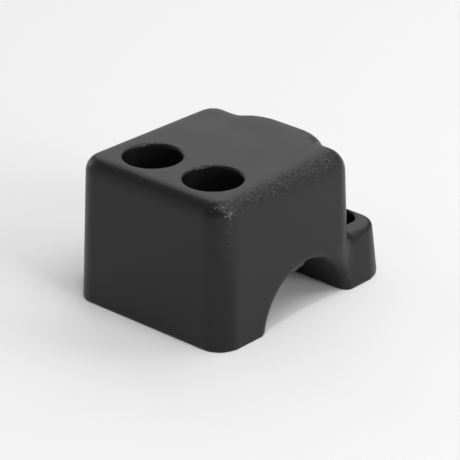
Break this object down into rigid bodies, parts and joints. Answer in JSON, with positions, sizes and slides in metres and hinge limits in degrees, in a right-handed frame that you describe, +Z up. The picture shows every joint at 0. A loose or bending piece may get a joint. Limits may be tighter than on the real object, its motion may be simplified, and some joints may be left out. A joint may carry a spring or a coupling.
{
  "type": "handlebar clamp",
  "caption": "Black cast block with a half-round channel for a bar through its underside, deep counterbored screw wells in the tall end and a low drilled lug behind.",
  "frame": {"origin": "on the axis of the clamped bar, half way along the clamp; the flat underside lies 1.6 mm above it", "axes": "+X along the bar, +Y from the tall end towards the low lug, +Z up, square to the underside"},
  "size_m": [0.0482, 0.0634, 0.0368],
  "materials": {
    "casting": "black powder coat with a fine grain over die-cast aluminium"
  },
  "bodies": {
    "root": {"clamp_body": "casting"}
  },
  "joints": []
}
